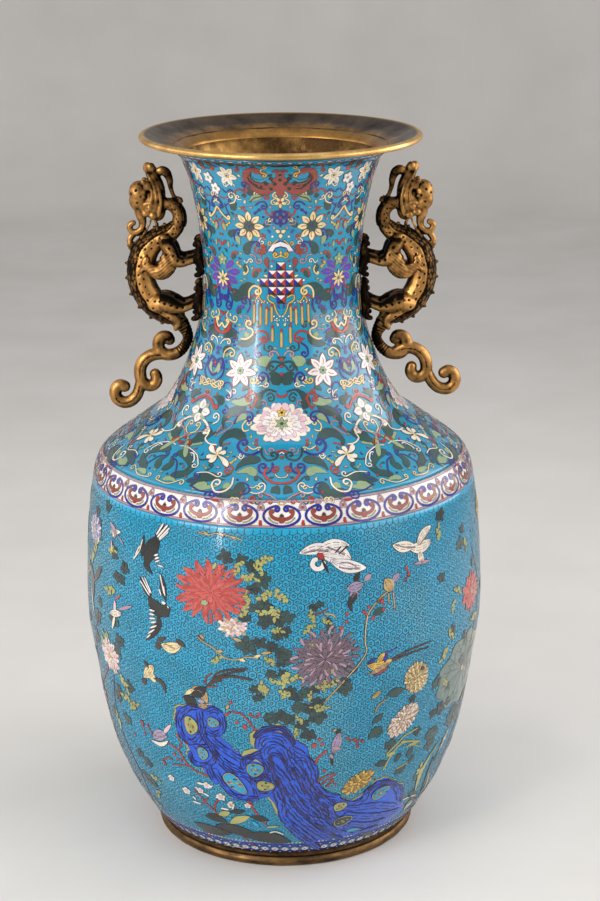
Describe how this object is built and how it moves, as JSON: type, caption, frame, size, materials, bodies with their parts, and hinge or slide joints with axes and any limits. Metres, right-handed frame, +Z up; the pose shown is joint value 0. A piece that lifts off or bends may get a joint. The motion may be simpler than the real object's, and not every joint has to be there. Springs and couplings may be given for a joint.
{
  "type": "cloisonne floor vase",
  "caption": "Tall enamelled metal floor vase with a round belly, flat shoulder, narrow flared neck, turned metal lip and foot, and a cast dragon handle on each side.",
  "frame": {"origin": "on the vase axis, in the plane the foot ring stands on", "axes": "+Z up along the vase axis, -Y towards the viewer who sees the front of the scene, +X to the right through one handle"},
  "size_m": [0.5594, 0.5594, 1],
  "materials": {
    "belly_enamel": "gloss",
    "shoulder_enamel": "gloss",
    "band_enamel": "gloss",
    "rosette_enamel": "gloss",
    "gilt_bronze": "polished and worn",
    "inner_gilt": "worn",
    "dark_bronze": "patinated",
    "copper": "dull",
    "handle_bronze": "worn gilding",
    "steel": "dull"
  },
  "bodies": {
    "root": {"belly_lower": "belly_enamel", "belly_upper": "belly_enamel", "shoulder_shell": "shoulder_enamel", "neck_shell": "shoulder_enamel", "shoulder_band": "band_enamel", "foot_band": "rosette_enamel", "foot_ring": "gilt_bronze", "mouth_rim": "gilt_bronze", "mouth_liner": "inner_gilt", "foot_collar": "dark_bronze", "foot_lap_ring": "copper", "belly_lap_ring": "copper", "band_lap_ring": "copper", "shoulder_lap_ring": "copper", "neck_lap_ring": "copper", "base_plate": "copper", "left_dragon_torso": "handle_bronze", "left_dragon_head": "handle_bronze", "left_dragon_mane_lock": "handle_bronze", "left_dragon_tail_upper": "handle_bronze", "left_dragon_tail_middle": "handle_bronze", "left_dragon_tail_end": "handle_bronze", "left_dragon_front_leg_near": "handle_bronze", "left_dragon_front_leg_far": "handle_bronze", "left_dragon_hind_leg_near": "handle_bronze", "left_dragon_hind_leg_far": "handle_bronze", "right_dragon_torso": "handle_bronze", "right_dragon_head": "handle_bronze", "right_dragon_mane_lock": "handle_bronze", "right_dragon_tail_upper": "handle_bronze", "right_dragon_tail_middle": "handle_bronze", "right_dragon_tail_end": "handle_bronze", "right_dragon_front_leg_near": "handle_bronze", "right_dragon_front_leg_far": "handle_bronze", "right_dragon_hind_leg_near": "handle_bronze", "right_dragon_hind_leg_far": "handle_bronze", "left_front_stud_near": "steel", "left_front_stud_far": "steel", "left_hind_stud_near": "steel", "left_hind_stud_far": "steel", "left_front_nut_near": "steel", "left_front_nut_far": "steel", "left_hind_nut_near": "steel", "left_hind_nut_far": "steel", "right_front_stud_near": "steel", "right_front_stud_far": "steel", "right_hind_stud_near": "steel", "right_hind_stud_far": "steel", "right_front_nut_near": "steel", "right_front_nut_far": "steel", "right_hind_nut_near": "steel", "right_hind_nut_far": "steel"}
  },
  "joints": []
}
